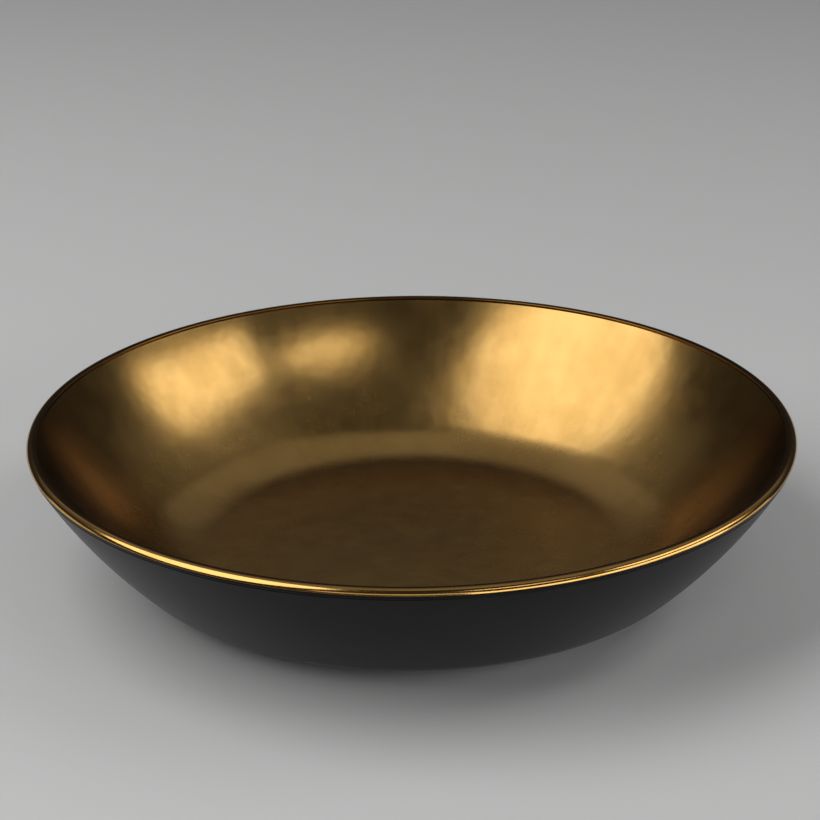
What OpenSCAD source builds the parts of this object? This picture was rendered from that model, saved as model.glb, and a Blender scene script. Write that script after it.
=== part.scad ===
// Wide shallow stoneware bowl, matt black outside, satin gold inside, polished gold rim.
// Every piece is turned about the Z axis. The origin is the centre of the standing ring's flat face.

/* [Overall] */
// Diameter across the gilded lip
rim_d = 260; // [230:1:300]
// Height from the standing face to the top of the lip
height = 52; // [46:1:64]

/* [Lip and wall] */
// Thickness of the rounded lip, gold included
lip_t = 4; // [3:0.1:5.5]
// Radius of the inner wall's long curve
inner_wall_r = 126; // [105:1:180]
// Radius of the outer wall's long curve
outer_wall_r = 180; // [150:1:260]
// Thickness of the wall where it runs into the floor, from glaze to glaze
base_t = 6.5; // [4.5:0.1:8]

/* [Floor] */
// Diameter of the flat inner floor
floor_d = 142; // [120:1:156]
// Thickness of the floor, from glaze to glaze
floor_t = 4; // [3:0.1:6]
// Radius of the hollow between the floor and the inner wall
corner_r = 36; // [24:1:44]

/* [Underside and foot] */
// Radius of the belly, where the outer wall turns under
belly_r = 22; // [12:1:30]
// Rise of the underside on its way out to the belly, in degrees
underside_angle = 12; // [8:1:20]
// Outer diameter of the foot ring
foot_d = 152; // [130:1:168]
// Width of the foot ring
foot_w = 4; // [3:0.1:6]
// Height of the well inside the foot ring
well_h = 2; // [1.5:0.1:4]
// Radius on the two edges of the standing face
foot_edge_r = 0.8; // [0.3:0.1:1]

/* [Coats] */
// Thickness of the black glaze
glaze_t = 0.4; // [0.3:0.05:0.6]
// Thickness of the gold
gold_t = 0.3; // [0.25:0.05:0.5]
// Bare height left above the standing face, where the glaze is wiped off
glaze_stop = 1; // [0.8:0.1:1.4]
// How far the gold runs down the outside of the lip, in degrees below its widest point
band_angle = 10; // [1:1:25]

/* [Hidden] */

clay_colour = "#9c8c7c";
glaze_colour = "#1c1b1d";
gold_colour = "#b98a3c";
rim_colour = "#d9a94e";

// Greatest distance between an arc and the chords that draw it
arc_tolerance = 0.01;
// Steps in one turn about the axis
$fn = 240;

// The cross-section lies in a plane of radius and height. Its sizes are those of the glazed bowl.
// An arc is a centre and a radius, and the arcs run into each other without a corner.
lip_r = lip_t / 2 - gold_t;
lip = [(rim_d - lip_t) / 2, height - lip_t / 2];
floor_r = floor_d / 2;
floor_z = well_h + floor_t;

// The hollow between floor and wall, limited to what fits under the lip
hollow_run = lip.x - floor_r;
hollow_rise = lip.y - floor_z;
lip_reach = max(lip_r, base_t - lip_r);
hollow_most = (hollow_run ^ 2 + hollow_rise ^ 2 - lip_reach ^ 2) / (2 * (hollow_rise + lip_reach));
hollow_share = 0.9;
hollow_r = min(corner_r, hollow_share * hollow_most);
hollow = [floor_r, floor_z + hollow_r];

// The inner wall touches the lip and the hollow, and the outer wall runs base_t outside the hollow
inner_wall = meeting(hollow, inner_wall_r - hollow_r, lip, inner_wall_r + lip_r);
outer_wall = meeting(hollow, outer_wall_r - hollow_r - base_t, lip, outer_wall_r - lip_r);

// The underside keeps floor_t below the hollow, then runs straight out to the belly
underside_r = hollow_r + floor_t;
underside_run = heading(underside_angle);
belly_from = hollow + (underside_r - belly_r) * heading(underside_angle - 90);
belly_offset = belly_from - outer_wall;
belly_along = belly_offset * underside_run;
belly_reach = outer_wall_r - belly_r;
belly_step = sqrt(belly_along ^ 2 - belly_offset * belly_offset + belly_reach ^ 2) - belly_along;
belly = belly_from + belly_step * underside_run;

// Directions in which the arcs meet
floor_end = -90;
hollow_end = direction(hollow - inner_wall);
lip_start = direction(inner_wall - lip);
lip_top = 90;
lip_widest = 0;
lip_end = direction(lip - outer_wall);
wall_end = direction(belly - outer_wall);
belly_end = underside_angle - 90;

foot_out = foot_d / 2;
foot_in = foot_out - foot_w;

function heading(angle) = [cos(angle), sin(angle)];
function direction(v) = atan2(v.y, v.x);
function reversed(points) = [for (i = [len(points) - 1 : -1 : 0]) points[i]];

// The point at distance ra from a and rb from b, on the left of the way from a to b
function meeting(a, ra, b, rb) =
    let (
        apart = norm(b - a),
        along = (b - a) / apart,
        near = (ra ^ 2 - rb ^ 2 + apart ^ 2) / (2 * apart)
    )
    a + near * along + sqrt(ra ^ 2 - near ^ 2) * [-along.y, along.x];

// Points on an arc, without its first one
function arc(centre, r, from, to) =
    let (steps = ceil(abs(to - from) / (2 * acos(1 - arc_tolerance / r))))
    [for (i = [1 : steps]) centre + r * heading(from + (to - from) * i / steps)];

// Each stretch of the outline below has its faces moved out of the bowl's wall by grow

// From the middle of the floor to the inner edge of the lip
function inside(grow) = concat(
    [[0, floor_z + grow], hollow + (hollow_r - grow) * heading(floor_end)],
    arc(hollow, hollow_r - grow, floor_end, hollow_end),
    arc(inner_wall, inner_wall_r - grow, hollow_end, lip_start - 180)
);

// Over the lip, as far as the gold goes
function over_lip(grow) = concat(
    arc(lip, lip_r + grow, lip_start, lip_top),
    arc(lip, lip_r + grow, lip_top, lip_widest),
    arc(lip, lip_r + grow, lip_widest, -band_angle)
);

// From the edge of the gold to the foot ring
function outside(grow) = concat(
    arc(lip, lip_r + grow, -band_angle, lip_end),
    arc(outer_wall, outer_wall_r + grow, lip_end, wall_end),
    [for (p = underside(grow)) if (p.x > foot_out + grow) p],
    [[foot_out + grow, underside_z(foot_out + grow, grow)]]
);

// From the foot ring to the middle of the well
function well(grow) = concat(
    [[foot_in - grow, underside_z(foot_in - grow, grow)]],
    [for (p = underside(grow)) if (p.x < foot_in - grow) p],
    [[0, well_h - grow]]
);

// Round the belly and in below the hollow, as if there were no foot ring
function underside(grow) = concat(
    arc(belly, belly_r + grow, wall_end, belly_end),
    [hollow + (underside_r + grow) * heading(belly_end)],
    arc(hollow, underside_r + grow, belly_end, floor_end)
);

function underside_z(r, grow) =
    let (out = r - floor_r, radius = underside_r + grow)
    out <= 0 ? well_h - grow :
    out <= radius * sin(underside_angle) ? hollow.y - sqrt(radius ^ 2 - out ^ 2) :
    hollow.y - radius / cos(underside_angle) + out * tan(underside_angle);

// Round the standing face, from the outer side of the foot ring to the inner
function standing(grow) =
    let (out = foot_out + grow - foot_edge_r, in = foot_in - grow + foot_edge_r)
    concat(
        [[foot_out + grow, foot_edge_r]],
        arc([out, foot_edge_r], foot_edge_r, 0, -90),
        [[in, 0]],
        arc([in, foot_edge_r], foot_edge_r, -90, -180)
    );

// Fired clay: wall, floor and foot ring in one
module clay_body() {
    color(clay_colour) rotate_extrude() polygon(concat(
        inside(-glaze_t), over_lip(-glaze_t), outside(-glaze_t), standing(-glaze_t), well(-glaze_t)
    ));
}

// Black glaze under the gold, over the lip and down the outside
module black_glaze() {
    face = concat(inside(0), over_lip(0), outside(0), [[foot_out, glaze_stop]]);
    back = concat(
        inside(-glaze_t), over_lip(-glaze_t), outside(-glaze_t), [[foot_out - glaze_t, glaze_stop]]
    );
    color(glaze_colour) rotate_extrude() polygon(concat(face, reversed(back)));
}

// Black glaze in the well, parted from the rest by the bare standing ring
module foot_well_glaze() {
    face = concat([[foot_in, glaze_stop]], well(0));
    back = concat([[foot_in + glaze_t, glaze_stop]], well(-glaze_t));
    color(glaze_colour) rotate_extrude() polygon(concat(face, reversed(back)));
}

// Satin gold on the floor and the inner wall
module gold_lining() {
    color(gold_colour) rotate_extrude() polygon(concat(inside(gold_t), reversed(inside(0))));
}

// Polished gold over the lip, from the edge of the lining to the outside
module rim_band() {
    start = heading(lip_start);
    face = concat([lip + (lip_r + gold_t) * start], over_lip(gold_t));
    back = concat([lip + lip_r * start], over_lip(0));
    color(rim_colour) rotate_extrude() polygon(concat(face, reversed(back)));
}

clay_body();
black_glaze();
foot_well_glaze();
gold_lining();
rim_band();
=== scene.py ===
import math
from collections import namedtuple

import bmesh
import bpy
from bpy.props import FloatProperty, FloatVectorProperty, IntProperty, PointerProperty
from bpy.types import Operator, Panel, PropertyGroup
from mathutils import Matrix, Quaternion, Vector


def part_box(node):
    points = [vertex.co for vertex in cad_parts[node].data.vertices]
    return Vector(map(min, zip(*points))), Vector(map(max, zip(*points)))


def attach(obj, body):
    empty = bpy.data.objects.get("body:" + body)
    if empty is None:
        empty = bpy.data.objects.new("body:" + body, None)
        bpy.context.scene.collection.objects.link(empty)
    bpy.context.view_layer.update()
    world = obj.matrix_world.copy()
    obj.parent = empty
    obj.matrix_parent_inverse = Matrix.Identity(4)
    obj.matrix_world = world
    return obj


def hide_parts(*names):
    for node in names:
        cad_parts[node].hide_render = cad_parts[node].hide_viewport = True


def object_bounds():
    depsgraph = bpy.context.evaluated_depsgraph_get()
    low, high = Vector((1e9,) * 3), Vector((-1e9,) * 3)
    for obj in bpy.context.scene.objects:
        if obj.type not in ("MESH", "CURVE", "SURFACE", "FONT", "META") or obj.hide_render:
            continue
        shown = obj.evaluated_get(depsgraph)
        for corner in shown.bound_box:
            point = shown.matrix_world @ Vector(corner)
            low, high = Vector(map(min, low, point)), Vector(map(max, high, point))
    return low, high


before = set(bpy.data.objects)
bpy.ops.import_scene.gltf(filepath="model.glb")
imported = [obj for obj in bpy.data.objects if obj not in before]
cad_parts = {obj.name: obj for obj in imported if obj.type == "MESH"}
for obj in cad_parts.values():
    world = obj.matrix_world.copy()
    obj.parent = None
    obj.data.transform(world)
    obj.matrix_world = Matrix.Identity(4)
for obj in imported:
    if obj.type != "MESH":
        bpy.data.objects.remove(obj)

bl_info = {
    "name": "Gold-lined bowl",
    "version": (1, 0, 0),
    "blender": (4, 5, 0),
    "location": "View3D > Sidebar > Bowl",
    "description": "Gold, glaze and studio for a wide stoneware bowl",
    "category": "Object",
}

BODY = "root"

# Boxes of the solids, from which sizes that can be read off them are taken
CAD_LOW, CAD_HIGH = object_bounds()
_, RIM_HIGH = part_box("rim_band")
LINING_LOW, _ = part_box("gold_lining")
_, GLAZE_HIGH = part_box("black_glaze")
WELL_LOW, WELL_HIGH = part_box("foot_well_glaze")
_, CLAY_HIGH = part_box("clay_body")
GOLD_THICKNESS = RIM_HIGH.z - GLAZE_HIGH.z
GLAZE_THICKNESS = GLAZE_HIGH.z - CLAY_HIGH.z

# Greatest distance between an arc and its chords, on faces that show and on faces that don't
FINE = 2e-6
COARSE = 1e-5

# Points that are nearer than the first count as one, and a ring's points lie within the second
MERGE_DISTANCE = 1e-7
RING_REACH = 10 * MERGE_DISTANCE

# Steps across the floor, along the underside, in a fillet and in a soft edge, and sides of the stage
FLOOR_STEPS = 12
UNDERSIDE_STEPS = 4
FILLET_STEPS = 5
SOFT_EDGE_STEPS = 2
STAGE_SIDES = 64

# Width of the glaze's thick edge under the groove, as a share of the groove's depth
THICK_EDGE = 0.8

# Widths of the coats' soft edges in metres, and the angle between faces from which an edge is softened
LINING_SOFT_EDGE = 0.00005
RIM_SOFT_EDGE = 0.00008
GLAZE_SOFT_EDGE = 0.0001
SHARP_ANGLE = math.radians(50)

# Distances from the axis in metres, over which the lining's brush strokes set in and its wall gets smoother
STROKES_SET_IN = (0.064, 0.084)
WALL_SMOOTHS = (0.095, 0.125)

# How far the brush strokes' pattern moves on for each metre outwards
STROKE_SHIFT = 0.3

# Where the rim band's darker inner edge begins to fade and where it ends, in metres from the lip's middle
DARK_EDGE_FADES = -0.0006
DARK_EDGE_ENDS = 0.0008

# Colour of the clay's pale clouds and of the floor's dark ones, as a share of the plain colour
PALE_CLAY = 1.12
DARK_FLOOR = 0.97

# The middle of a noise, and the sockets of a Mix node that mixes colours
NOISE_MEAN = 0.5
MIX_SHARE, MIX_FIRST, MIX_SECOND, MIX_RESULT = 0, 6, 7, 2

SENSOR_WIDTH = 36.0


def length(name, description, default):
    """A size in metres, as a property"""
    return FloatProperty(
        name=name, description=description, default=default, unit="LENGTH", precision=5
    )


def angle(name, description, degrees):
    """An angle, as a property"""
    return FloatProperty(
        name=name, description=description, default=math.radians(degrees), unit="ROTATION"
    )


def colour(name, description, default):
    """A linear colour, as a property"""
    return FloatVectorProperty(
        name=name, description=description, default=default, subtype="COLOR", size=3, min=0, max=1
    )


class BowlSizes(PropertyGroup):
    """Sizes of the bowl's cross-section"""

    rim_diameter: length("Rim diameter", "Across the gilded lip", 2 * CAD_HIGH.x)
    height: length("Height", "From the standing face to the top of the lip", CAD_HIGH.z)
    lip_thickness: length("Lip thickness", "Thickness of the rounded lip with its gold", 0.004)
    lip_edge: length("Lip edge", "Radius of the lip's inner edge", 0.00035)
    inner_wall_radius: length("Inner wall radius", "Radius of the inner wall's long curve", 0.126)
    outer_wall_radius: length("Outer wall radius", "Radius of the outer wall's long curve", 0.180)
    base_thickness: length("Base thickness", "Thickness of the wall where it runs into the floor", 0.0065)
    floor_diameter: length("Floor diameter", "Diameter of the flat inner floor", 0.142)
    floor_height: length("Floor height", "Height of the glazed floor under the gold", LINING_LOW.z)
    floor_thickness: length("Floor thickness", "Thickness of the floor from glaze to glaze", 0.004)
    corner_radius: length("Corner radius", "Radius between the floor and the inner wall", 0.036)
    belly_radius: length("Belly radius", "Radius where the outer wall turns under", 0.022)
    underside_angle: angle("Underside angle", "Rise of the underside on its way to the belly", 12)
    foot_bore: length("Foot bore", "Inner radius of the foot ring", WELL_HIGH.x - GLAZE_THICKNESS)
    foot_width: length("Foot width", "Width of the foot ring", 0.004)
    glaze_stop: length("Glaze stop", "Bare height above the standing face", WELL_LOW.z)
    gold_thickness: length("Gold thickness", "Thickness of the gold", GOLD_THICKNESS)
    glaze_thickness: length("Glaze thickness", "Thickness of the black glaze", GLAZE_THICKNESS)
    band_angle: angle("Band angle", "How far above the lip's widest point the gold ends outside", 12)
    groove_width: length("Groove width", "Width of the shallow groove below the gold", 0.0015)
    groove_depth: length("Groove depth", "Depth of the shallow groove below the gold", 0.00022)
    pool_radius: length("Pool radius", "Fillet of the glaze that pools against the foot ring", 0.0009)
    turns: IntProperty(
        name="Turn steps", description="Steps in one turn about the axis", default=256, min=48
    )


class BowlColours(PropertyGroup):
    """Colours of the bowl's finishes"""

    gold: colour("Satin gold", "Gold of the lining", (0.48, 0.292, 0.094))
    gold_worn: colour("Deep gold", "Browner gold in the lining's thin places", (0.41, 0.240, 0.071))
    gold_grazing: colour(
        "Grazing gold", "Shine left in the satin gold at a grazing view", (0.18, 0.35, 0.70)
    )
    rim_gold: colour("Polished gold", "Gold of the rim band", (0.56, 0.325, 0.095))
    rim_burnt: colour("Burnt gold", "Redder gold where the rim band is thin", (0.46, 0.235, 0.055))
    rim_edge: colour("Rim edge", "Dark gold along the rim band's inner edge", (0.20, 0.095, 0.02))
    glaze: colour("Black glaze", "Matt black of the outside", (0.0060, 0.0058, 0.0062))
    glaze_bloom: colour("Glaze bloom", "Greyer patches in the black", (0.0095, 0.0092, 0.0098))
    clay: colour("Stoneware", "Bare clay of the standing ring", (0.42, 0.34, 0.27))
    clay_iron: colour("Iron specks", "Dark specks in the clay", (0.12, 0.075, 0.05))


class BowlStudio(PropertyGroup):
    """Camera, floor and light"""

    camera_distance: length("Camera distance", "From the middle of the rim to the camera", 0.845)
    camera_elevation: angle("Camera elevation", "Height of the camera above the rim's plane", 22.42)
    camera_roll: angle("Camera roll", "Turn of the camera about its own axis", -0.466)
    focal_length: FloatProperty(
        name="Focal length", description="Of a 36 mm sensor", default=109.07, unit="CAMERA"
    )
    aim_across: length("Aim across", "Sideways place of the point in the middle of the picture", -0.00046)
    aim_rise: length("Aim rise", "Height above the rim of the point in the middle of the picture", 0.0044)
    floor_radius: length("Floor radius", "Radius of the round floor", 6.0)
    floor_grey: colour("Floor", "Pale colour of the floor", (0.64, 0.64, 0.635))
    sky_grey: colour("Room", "Dim light from all round", (0.032, 0.032, 0.033))


Softbox = namedtuple("Softbox", "name shape azimuth elevation distance tilt roll width height radiance")
# Angles are in degrees, with azimuth from the camera's side towards the right and an untilted box upright.
# Distances and sizes are in metres.
SOFTBOXES = (
    Softbox("left_softbox", "ELLIPSE", -75, 40, 1.45, 76, 24, 1.43, 1.83, 2.5),
    Softbox("right_softbox", "RECTANGLE", 95.5, 43, 1.30, 13, -26, 0.88, 0.42, 2.5),
    Softbox("front_softbox", "ELLIPSE", 42.5, 57.5, 1.35, 45, -8, 0.60, 0.24, 2.1),
    Softbox("low_fill", "RECTANGLE", 55, 17, 1.30, 0, 0, 2.10, 0.50, 2.5),
    Softbox("front_fill", "RECTANGLE", -4, 27, 1.30, 0, 0, 1.00, 0.40, 0.8),
    Softbox("left_strip", "RECTANGLE", -107, 4, 1.40, 0, 0, 0.60, 0.20, 1.0),
    Softbox("right_strip", "RECTANGLE", 98, 4, 1.40, 0, 0, 0.90, 0.20, 1.3),
    Softbox("ceiling_panel", "RECTANGLE", 180, 53, 1.60, 60, 0, 1.60, 1.60, 0.17),
    Softbox("ceiling_spill", "RECTANGLE", 180, 53, 1.64, 60, 0, 3.40, 1.60, 0.10),
)


# Geometry of the cross-section


def heading(turn):
    """Unit vector at an angle"""
    return Vector((math.cos(turn), math.sin(turn)))


def direction(vector):
    """Angle of a vector"""
    return math.atan2(vector.y, vector.x)


def meeting(a, a_reach, b, b_reach):
    """The point at a_reach from a and b_reach from b, on the left of the way from a to b"""
    apart = (b - a).length
    along = (b - a) / apart
    near = (a_reach**2 - b_reach**2 + apart**2) / (2 * apart)
    return a + near * along + math.sqrt(a_reach**2 - near**2) * Vector((-along.y, along.x))


class Outline:
    """A line in the XZ plane that is drawn on from its tip and then turned about the Z axis"""

    def __init__(self, x, z):
        self.mesh = bmesh.new()
        self.tip = self.mesh.verts.new((x, 0, z))

    def line(self, x, z, pieces=1):
        """Draw a straight stretch"""
        start = self.tip.co.copy()
        end = Vector((x, 0, z))
        for i in range(pieces):
            made = bmesh.ops.extrude_vert_indiv(self.mesh, verts=[self.tip])
            self.tip = made["verts"][0]
            self.tip.co = start.lerp(end, (i + 1) / pieces)

    def arc(self, centre, end_angle, tolerance=FINE):
        """Draw an arc about a centre, as far as the direction end_angle"""
        reach = Vector((self.tip.co.x, self.tip.co.z)) - centre
        sweep = end_angle - direction(reach)
        sweep -= math.tau * round(sweep / math.tau)
        steps = math.ceil(abs(sweep) / (2 * math.acos(1 - tolerance / reach.length)))
        made = bmesh.ops.spin(
            self.mesh,
            geom=[self.tip],
            cent=(centre.x, 0, centre.y),
            axis=(0, -1, 0),
            angle=sweep,
            steps=max(steps, 1),
        )
        self.tip = next(v for v in made["geom_last"] if isinstance(v, bmesh.types.BMVert))

    def turned(self, steps, upward=True):
        """Turn the line into a skin whose highest face looks up, or down"""
        mesh = self.mesh
        bmesh.ops.spin(
            mesh,
            geom=mesh.verts[:] + mesh.edges[:],
            cent=(0, 0, 0),
            axis=(0, 0, 1),
            angle=math.tau,
            steps=steps,
            use_merge=True,
        )
        bmesh.ops.remove_doubles(mesh, verts=mesh.verts[:], dist=MERGE_DISTANCE)
        bmesh.ops.recalc_face_normals(mesh, faces=mesh.faces[:])
        highest = max(mesh.faces, key=lambda face: face.calc_center_median().z)
        if (highest.normal.z > 0) != upward:
            bmesh.ops.reverse_faces(mesh, faces=mesh.faces[:])
        return mesh


def ring_at(mesh, x, z):
    """Edges of the turned ring that passes through a point of the outline"""
    def on_ring(vert):
        radius = math.hypot(vert.co.x, vert.co.y)
        return math.hypot(radius - x, vert.co.z - z) < RING_REACH

    return [edge for edge in mesh.edges if on_ring(edge.verts[0]) and on_ring(edge.verts[1])]


def round_off(mesh, corner, radius):
    """Fillet the ring that a corner of the outline makes"""
    bmesh.ops.bevel(
        mesh,
        geom=ring_at(mesh, corner.x, corner.y),
        offset=radius,
        offset_type="OFFSET",
        segments=FILLET_STEPS,
        profile=0.5,
        affect="EDGES",
        material=-1,
        clamp_overlap=True,
    )


class Section:
    """The bowl's glazed cross-section, with x away from the axis and y up

    Its arcs run into each other without a corner, apart from the lip's inner edge. A path that can lie
    under gold takes grow, by which its faces are moved out of the bowl's wall.
    """

    def __init__(self, sizes):
        self.sizes = sizes
        lip_half = sizes.lip_thickness / 2
        self.lip_radius = lip_half - sizes.gold_thickness
        self.lip = Vector((sizes.rim_diameter / 2 - lip_half, sizes.height - lip_half))
        self.floor_radius = sizes.floor_diameter / 2
        self.hollow_radius = sizes.corner_radius
        self.hollow = Vector((self.floor_radius, sizes.floor_height + self.hollow_radius))
        self.inner = meeting(
            self.hollow,
            sizes.inner_wall_radius - self.hollow_radius,
            self.lip,
            sizes.inner_wall_radius + self.lip_radius,
        )
        self.outer = meeting(
            self.hollow,
            sizes.outer_wall_radius - self.hollow_radius - sizes.base_thickness,
            self.lip,
            sizes.outer_wall_radius - self.lip_radius,
        )
        self.under_radius = self.hollow_radius + sizes.floor_thickness
        self.belly_end = sizes.underside_angle - math.pi / 2
        self.belly = self.find_belly()
        self.hollow_end = direction(self.hollow - self.inner)
        self.lip_start = direction(self.inner - self.lip)
        edge_x = self.lip.x + lip_half * math.cos(self.lip_start) + sizes.lip_edge
        self.edge = Vector((edge_x, sizes.height - sizes.lip_edge))
        self.lip_end = direction(self.lip - self.outer)
        self.wall_end = direction(self.belly - self.outer)
        self.foot_in = sizes.foot_bore
        self.foot_out = sizes.foot_bore + sizes.foot_width

    def find_belly(self):
        """Centre of the arc that touches the outer wall and the straight underside"""
        sizes = self.sizes
        run = heading(sizes.underside_angle)
        start = self.hollow + (self.under_radius - sizes.belly_radius) * heading(self.belly_end)
        offset = start - self.outer
        along = offset.dot(run)
        reach = sizes.outer_wall_radius - sizes.belly_radius
        return start + (math.sqrt(along**2 - offset.dot(offset) + reach**2) - along) * run

    def start(self, grow):
        """An outline that starts in the middle of the floor"""
        return Outline(0, self.sizes.floor_height + grow)

    def inside(self, outline, grow, tolerance=FINE):
        """From the middle of the floor to the inner edge of the lip"""
        outline.line(self.floor_radius, self.sizes.floor_height + grow, pieces=FLOOR_STEPS)
        outline.arc(self.hollow, self.hollow_end, tolerance)
        outline.arc(self.inner, self.lip_start - math.pi, tolerance)

    def over_lip(self, outline, grow, tolerance=FINE):
        """Up the lip's inner edge, across its top and down the outside, as far as the gold goes"""
        edge_radius = self.sizes.lip_edge - self.sizes.gold_thickness + grow
        outline.line(self.edge.x - edge_radius, self.edge.y)
        outline.arc(self.edge, math.pi / 2, tolerance)
        outline.line(self.lip.x, outline.tip.co.z)
        outline.arc(self.lip, self.sizes.band_angle, tolerance)

    def groove(self, outline):
        """A shallow groove below the gold, and the glaze's thick edge under it"""
        sizes = self.sizes
        depth = sizes.groove_depth
        sunk = self.lip + (self.lip_radius - depth) * heading(sizes.band_angle)
        outline.line(sunk.x, sunk.y)
        outline.arc(self.lip, self.lip_end)
        lip_length = self.lip_radius * (sizes.band_angle - self.lip_end)
        groove_end = self.lip_end - (sizes.groove_width - lip_length) / sizes.outer_wall_radius
        outline.arc(self.outer, groove_end)
        edge_end = groove_end - THICK_EDGE * depth / sizes.outer_wall_radius
        edge = self.outer + sizes.outer_wall_radius * heading(edge_end)
        outline.line(edge.x, edge.y)

    def outside(self, outline):
        """From the groove down the wall, round the belly and in to the foot ring"""
        outline.arc(self.outer, self.wall_end)
        outline.arc(self.belly, self.belly_end)
        flat_end = self.hollow + self.under_radius * heading(self.belly_end)
        outline.line(flat_end.x, flat_end.y, pieces=UNDERSIDE_STEPS)
        outline.arc(self.hollow, self.under_foot(self.foot_out), COARSE)
        outline.line(self.foot_out, self.sizes.glaze_stop)

    def under_foot(self, x):
        """Direction from the hollow's centre to the underside at a distance from the axis"""
        return -math.acos((x - self.hollow.x) / self.under_radius)

    def foot_corner(self, x):
        """Where the foot ring's side meets the underside"""
        return self.hollow + self.under_radius * heading(self.under_foot(x))


# Shader maths


class Wire:
    """A shader output in an expression: each operator adds a Math node"""

    def __init__(self, finish, socket):
        self.finish = finish
        self.socket = socket

    def __add__(self, other):
        return self.finish.math("ADD", self, other)

    __radd__ = __add__

    def __sub__(self, other):
        return self.finish.math("SUBTRACT", self, other)

    def __rsub__(self, other):
        return self.finish.math("SUBTRACT", other, self)

    def __mul__(self, other):
        return self.finish.math("MULTIPLY", self, other)

    __rmul__ = __mul__


class Finish:
    """A material, with its nodes added one by one"""

    def __init__(self, name):
        self.material = bpy.data.materials.new(name)
        self.material.use_nodes = True
        self.tree = self.material.node_tree
        self.shader = self.tree.nodes["Principled BSDF"]

    def add(self, kind, settings=None, inputs=None, output=0):
        """Add a node: its settings come first, then the values or links of its inputs"""
        node = self.tree.nodes.new(kind)
        for name, value in (settings or {}).items():
            setattr(node, name, value)
        for name, value in (inputs or {}).items():
            self.plug(node.inputs[name], value)
        return Wire(self, node.outputs[output])

    def plug(self, socket, value):
        """Link a wire to a socket, or set the socket's own value"""
        if isinstance(value, Wire):
            self.tree.links.new(value.socket, socket)
        else:
            socket.default_value = value

    def surface(self, inputs):
        """Plug the shader's own sockets"""
        for name, value in inputs.items():
            self.plug(self.shader.inputs[name], value)

    def math(self, operation, first, second):
        """Two values through a Math node"""
        return self.add("ShaderNodeMath", {"operation": operation}, {0: first, 1: second})

    def vector(self, operation, first, second=(0, 0, 0), output="Vector"):
        """Vectors through a Vector Math node"""
        return self.add("ShaderNodeVectorMath", {"operation": operation}, {0: first, 1: second}, output)

    def place(self):
        """Place on the piece, in metres"""
        return self.add("ShaderNodeTexCoord", output="Object")

    def noise(self, place, scale, detail=2.0, roughness=0.5):
        """Noise from 0 to 1, with scale patches to a metre"""
        inputs = {"Vector": place, "Scale": scale, "Detail": detail, "Roughness": roughness}
        return self.add("ShaderNodeTexNoise", None, inputs, "Fac")

    def ramp(self, value, low, high):
        """A smooth step from 0 to 1 as a value goes from one limit to the other"""
        inputs = {"Value": value, "From Min": low, "From Max": high}
        return self.add("ShaderNodeMapRange", {"interpolation_type": "SMOOTHSTEP"}, inputs)

    def mix(self, share, first, second):
        """Two colours, with the second one's share"""
        inputs = {MIX_SHARE: share, MIX_FIRST: opaque(first), MIX_SECOND: opaque(second)}
        return self.add("ShaderNodeMix", {"data_type": "RGBA"}, inputs, MIX_RESULT)

    def bump(self, height, distance, under=None):
        """A normal from a height, where a height of 1 stands distance proud, over another normal"""
        inputs = {"Height": height, "Distance": distance}
        if under:
            inputs["Normal"] = under
        return self.add("ShaderNodeBump", None, inputs, "Normal")


def opaque(value):
    """A colour with its alpha, or a wire as it is"""
    return value if isinstance(value, Wire) else (*value, 1.0)


# Finishes


def satin_gold(colours):
    """Fired gold, brushed on from the middle outwards and left satin"""
    finish = Finish("satin_gold")
    place = finish.place()
    flat = finish.vector("MULTIPLY", place, (1, 1, 0))
    radius = finish.vector("LENGTH", flat, output="Value")
    around = finish.vector("NORMALIZE", flat)
    stretch = finish.add("ShaderNodeCombineXYZ", None, {"Z": radius * STROKE_SHIFT})
    stroke_place = finish.vector("ADD", around, stretch)
    on_wall = finish.ramp(radius, *STROKES_SET_IN)
    up_wall = finish.ramp(radius, *WALL_SMOOTHS)
    strokes = (finish.noise(stroke_place, scale=150, detail=4.0, roughness=0.6) - NOISE_MEAN) * on_wall
    bands = (finish.noise(stroke_place, scale=18) - NOISE_MEAN) * on_wall
    clouds = finish.noise(place, scale=42, detail=3.0, roughness=0.55)
    smoke = finish.noise(place, scale=130)
    grain = finish.noise(place, scale=2200)
    thin = finish.ramp(0.7 * clouds + 0.2 * bands, low=0.22, high=0.52)
    rough = 0.262 - 0.05 * up_wall + 0.12 * (clouds - NOISE_MEAN)
    rough = rough + 0.08 * (smoke - NOISE_MEAN) + 0.04 * strokes
    waves = finish.bump(clouds + 0.06 * smoke, distance=0.00013)
    relief = finish.bump(strokes + 0.05 * grain, distance=0.000003, under=waves)
    finish.surface({
        "Base Color": finish.mix(thin, colours.gold, colours.gold_worn),
        "Metallic": 1.0,
        "Specular Tint": opaque(colours.gold_grazing),
        "Roughness": rough,
        "Normal": relief,
    })
    return finish.material


def polished_gold(colours, sizes):
    """Bright gold banded over the lip with a wide brush, darker along its inner edge"""
    finish = Finish("polished_gold")
    place = finish.place()
    radius = finish.vector("LENGTH", finish.vector("MULTIPLY", place, (1, 1, 0)), output="Value")
    lip_middle = (sizes.rim_diameter - sizes.lip_thickness) / 2
    outer = finish.ramp(radius, lip_middle + DARK_EDGE_FADES, lip_middle + DARK_EDGE_ENDS)
    runs = finish.noise(place, scale=55, detail=3.0)
    grain = finish.noise(place, scale=1200)
    thin = finish.ramp(runs, low=0.45, high=0.75)
    gold = finish.mix(thin, colours.rim_gold, colours.rim_burnt)
    finish.surface({
        "Base Color": finish.mix(outer, colours.rim_edge, gold),
        "Metallic": 1.0,
        "Roughness": 0.09 + 0.09 * runs + 0.04 * (grain - NOISE_MEAN),
        "Normal": finish.bump(3.0 * runs + 0.2 * grain, distance=0.000006),
    })
    return finish.material


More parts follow.
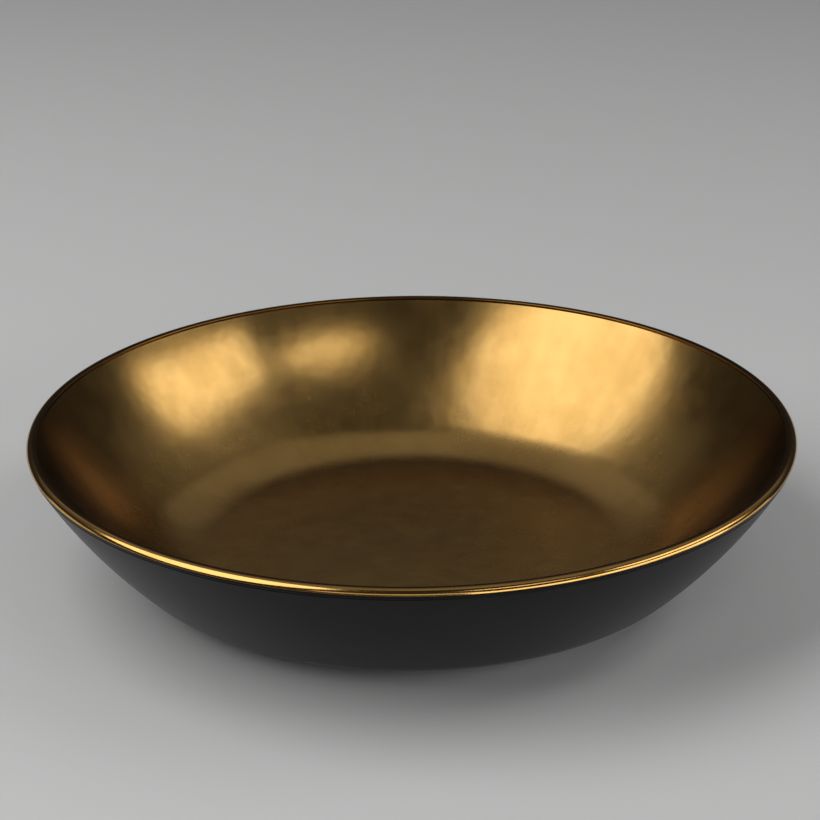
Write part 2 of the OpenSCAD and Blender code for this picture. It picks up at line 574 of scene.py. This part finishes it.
def black_glaze(colours):
    """Matt black glaze with a soft bloom"""
    finish = Finish("black_glaze")
    place = finish.place()
    bloom = finish.noise(place, scale=30, detail=3.0)
    grain = finish.noise(place, scale=1400, detail=3.0, roughness=0.6)
    waves = finish.noise(place, scale=120)
    patches = finish.ramp(bloom, low=0.35, high=0.7)
    finish.surface({
        "Base Color": finish.mix(patches, colours.glaze, colours.glaze_bloom),
        "Roughness": 0.38 + 0.10 * (bloom - NOISE_MEAN) + 0.08 * (grain - NOISE_MEAN),
        "Specular IOR Level": 0.08,
        "Sheen Weight": 0.11,
        "Sheen Roughness": 0.4,
        "Normal": finish.bump(grain + 2.0 * waves, distance=0.000008),
    })
    return finish.material


def bare_stoneware(colours):
    """Unglazed clay with pale clouds and iron specks"""
    finish = Finish("bare_stoneware")
    place = finish.place()
    clouds = finish.noise(place, scale=90, detail=3.0)
    grit = finish.noise(place, scale=1800, detail=3.0, roughness=0.65)
    specks = finish.ramp(finish.noise(place, scale=900, detail=1.0), low=0.68, high=0.74)
    paler = [min(1.0, PALE_CLAY * part) for part in colours.clay]
    body = finish.mix(clouds, colours.clay, paler)
    finish.surface({
        "Base Color": finish.mix(specks, body, colours.clay_iron),
        "Roughness": 0.80 + 0.15 * (grit - NOISE_MEAN),
        "Normal": finish.bump(grit, distance=0.00004),
    })
    return finish.material


def pale_floor(studio):
    """Plain matt floor"""
    finish = Finish("pale_floor")
    clouds = finish.noise(finish.place(), scale=3)
    darker = [DARK_FLOOR * part for part in studio.floor_grey]
    finish.surface({
        "Base Color": finish.mix(clouds, studio.floor_grey, darker),
        "Roughness": 0.85,
        "Specular IOR Level": 0.2,
    })
    return finish.material


# Pieces


def make_piece(name, skin, material, thickness, edge, node):
    """A coat made from its outer skin, which gets its thickness inwards and soft edges"""
    for face in skin.faces:
        face.smooth = True
    mesh = bpy.data.meshes.new(name)
    skin.to_mesh(mesh)
    skin.free()
    mesh.materials.append(material)
    piece = bpy.data.objects.new(name, mesh)
    bpy.context.scene.collection.objects.link(piece)
    wall = piece.modifiers.new("Coat thickness", "SOLIDIFY")
    wall.thickness = thickness
    wall.offset = -1
    wall.use_even_offset = True
    soft = piece.modifiers.new("Soft edges", "BEVEL")
    soft.width = edge
    soft.segments = SOFT_EDGE_STEPS
    soft.limit_method = "ANGLE"
    soft.angle_limit = SHARP_ANGLE
    soft.harden_normals = True
    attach(piece, BODY)
    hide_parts(node)


class BOWL_OT_lay_gold_lining(Operator):
    """Lay satin gold on the floor and the inner wall"""

    bl_idname = "bowl.lay_gold_lining"
    bl_label = "Gold lining"

    def execute(self, context):
        sizes = context.scene.bowl_sizes
        section = Section(sizes)
        outline = section.start(sizes.gold_thickness)
        section.inside(outline, sizes.gold_thickness)
        skin = outline.turned(sizes.turns)
        gold = satin_gold(context.scene.bowl_colours)
        coat = sizes.gold_thickness
        make_piece("satin_lining", skin, gold, coat, LINING_SOFT_EDGE, "gold_lining")
        return {"FINISHED"}


class BOWL_OT_band_rim(Operator):
    """Band the lip with polished gold"""

    bl_idname = "bowl.band_rim"
    bl_label = "Rim band"

    def execute(self, context):
        sizes = context.scene.bowl_sizes
        section = Section(sizes)
        start = section.lip + sizes.lip_thickness / 2 * heading(section.lip_start)
        outline = Outline(start.x, start.y)
        section.over_lip(outline, sizes.gold_thickness)
        skin = outline.turned(sizes.turns)
        gold = polished_gold(context.scene.bowl_colours, sizes)
        coat = sizes.gold_thickness
        make_piece("gilded_rim", skin, gold, coat, RIM_SOFT_EDGE, "rim_band")
        return {"FINISHED"}


class BOWL_OT_dip_black_glaze(Operator):
    """Coat the bowl with black glaze from the floor over the lip to the foot ring"""

    bl_idname = "bowl.dip_black_glaze"
    bl_label = "Black glaze"

    def execute(self, context):
        sizes = context.scene.bowl_sizes
        section = Section(sizes)
        outline = section.start(0)
        section.inside(outline, 0, COARSE)
        section.over_lip(outline, 0, COARSE)
        section.groove(outline)
        section.outside(outline)
        skin = outline.turned(sizes.turns)
        round_off(skin, section.foot_corner(section.foot_out), sizes.pool_radius)
        glaze = black_glaze(context.scene.bowl_colours)
        coat = sizes.glaze_thickness
        make_piece("matt_black_coat", skin, glaze, coat, GLAZE_SOFT_EDGE, "black_glaze")
        return {"FINISHED"}


class BOWL_OT_glaze_foot_well(Operator):
    """Coat the well inside the foot ring with black glaze"""

    bl_idname = "bowl.glaze_foot_well"
    bl_label = "Foot well glaze"

    def execute(self, context):
        sizes = context.scene.bowl_sizes
        section = Section(sizes)
        corner = section.foot_corner(section.foot_in)
        outline = Outline(section.foot_in, sizes.glaze_stop)
        outline.line(corner.x, corner.y)
        outline.arc(section.hollow, -math.pi / 2)
        outline.line(0, outline.tip.co.z, pieces=FLOOR_STEPS)
        skin = outline.turned(sizes.turns, upward=False)
        round_off(skin, corner, sizes.pool_radius / 2)
        glaze = bpy.data.materials["black_glaze"]
        coat = sizes.glaze_thickness
        make_piece("foot_well_coat", skin, glaze, coat, GLAZE_SOFT_EDGE, "foot_well_glaze")
        return {"FINISHED"}


class BOWL_OT_finish_clay(Operator):
    """Give the clay body its bare stoneware, which shows on the standing ring"""

    bl_idname = "bowl.finish_clay"
    bl_label = "Bare clay"

    def execute(self, context):
        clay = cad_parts["clay_body"]
        clay.data.materials.clear()
        clay.data.materials.append(bare_stoneware(context.scene.bowl_colours))
        return {"FINISHED"}


def hang_softbox(box, target):
    """A flat lamp hung round the target and turned by its tilt and roll, with its strength as radiance"""
    turn = math.radians(box.azimuth)
    rise, tilt = math.radians(box.elevation), math.radians(box.tilt)
    away = Vector((math.sin(turn), -math.cos(turn), 0))
    up = Vector((0, 0, 1))
    lamp = bpy.data.lights.new(box.name, "AREA")
    lamp.shape = box.shape
    lamp.size = box.width
    lamp.size_y = box.height
    frame_share = math.pi / 4 if box.shape == "ELLIPSE" else 1
    lamp.energy = box.radiance * math.pi * frame_share * box.width * box.height
    lamp_object = bpy.data.objects.new(box.name, lamp)
    lamp_object.location = target + box.distance * (math.cos(rise) * away + math.sin(rise) * up)
    lamp_object.rotation_mode = "QUATERNION"
    aim = -math.cos(tilt) * away - math.sin(tilt) * up
    roll = Quaternion((0, 0, 1), math.radians(box.roll))
    lamp_object.rotation_quaternion = aim.to_track_quat("-Z", "Y") @ roll
    bpy.context.scene.collection.objects.link(lamp_object)


def place_camera(studio, rim_middle):
    """The camera at the photograph's viewing angle"""
    rise = studio.camera_elevation
    camera = bpy.data.cameras.new("camera")
    camera.lens = studio.focal_length
    camera.sensor_width = SENSOR_WIDTH
    camera_object = bpy.data.objects.new("camera", camera)
    towards_camera = Vector((0, -math.cos(rise), math.sin(rise)))
    camera_object.location = rim_middle + studio.camera_distance * towards_camera
    aim = rim_middle + Vector((studio.aim_across, 0, studio.aim_rise))
    look = (aim - camera_object.location).to_track_quat("-Z", "Y")
    camera_object.rotation_mode = "QUATERNION"
    camera_object.rotation_quaternion = look @ Quaternion((0, 0, 1), studio.camera_roll)
    bpy.context.scene.collection.objects.link(camera_object)
    bpy.context.scene.camera = camera_object


class BOWL_OT_set_stage(Operator):
    """Set the pale floor, the lamps, the dim room and the camera"""

    bl_idname = "bowl.set_stage"
    bl_label = "Stage"

    def execute(self, context):
        scene = context.scene
        studio = scene.bowl_studio
        plan = bmesh.new()
        bmesh.ops.create_circle(
            plan, cap_ends=True, radius=studio.floor_radius, segments=STAGE_SIDES
        )
        mesh = bpy.data.meshes.new("floor")
        plan.to_mesh(mesh)
        plan.free()
        mesh.materials.append(pale_floor(studio))
        floor = bpy.data.objects.new("floor", mesh)
        scene.collection.objects.link(floor)
        rim_middle = Vector((0, 0, scene.bowl_sizes.height))
        for box in SOFTBOXES:
            hang_softbox(box, rim_middle)
        world = bpy.data.worlds.new("dim_room")
        world.use_nodes = True
        world.node_tree.nodes["Background"].inputs["Color"].default_value = opaque(studio.sky_grey)
        scene.world = world
        scene.view_settings.view_transform = "Standard"
        place_camera(studio, rim_middle)
        return {"FINISHED"}


class BOWL_PT_maker(Panel):
    """Steps, sizes and colours of the bowl"""

    bl_idname = "BOWL_PT_maker"
    bl_label = "Gold-lined bowl"
    bl_space_type = "VIEW_3D"
    bl_region_type = "UI"
    bl_category = "Bowl"

    def draw(self, context):
        for step in STEPS:
            self.layout.operator(step.bl_idname)
        scene = context.scene
        for group in (scene.bowl_sizes, scene.bowl_colours, scene.bowl_studio):
            column = self.layout.column()
            for name in group.__annotations__:
                column.prop(group, name)


STEPS = (
    BOWL_OT_finish_clay,
    BOWL_OT_dip_black_glaze,
    BOWL_OT_glaze_foot_well,
    BOWL_OT_lay_gold_lining,
    BOWL_OT_band_rim,
    BOWL_OT_set_stage,
)
CLASSES = (BowlSizes, BowlColours, BowlStudio, *STEPS, BOWL_PT_maker)


def register():
    for cls in CLASSES:
        bpy.utils.register_class(cls)
    bpy.types.Scene.bowl_sizes = PointerProperty(type=BowlSizes)
    bpy.types.Scene.bowl_colours = PointerProperty(type=BowlColours)
    bpy.types.Scene.bowl_studio = PointerProperty(type=BowlStudio)


def unregister():
    del bpy.types.Scene.bowl_studio
    del bpy.types.Scene.bowl_colours
    del bpy.types.Scene.bowl_sizes
    for cls in reversed(CLASSES):
        bpy.utils.unregister_class(cls)


def main():
    register()
    bpy.ops.bowl.finish_clay()
    bpy.ops.bowl.dip_black_glaze()
    bpy.ops.bowl.glaze_foot_well()
    bpy.ops.bowl.lay_gold_lining()
    bpy.ops.bowl.band_rim()
    bpy.ops.bowl.set_stage()


if __name__ == "__main__":
    main()
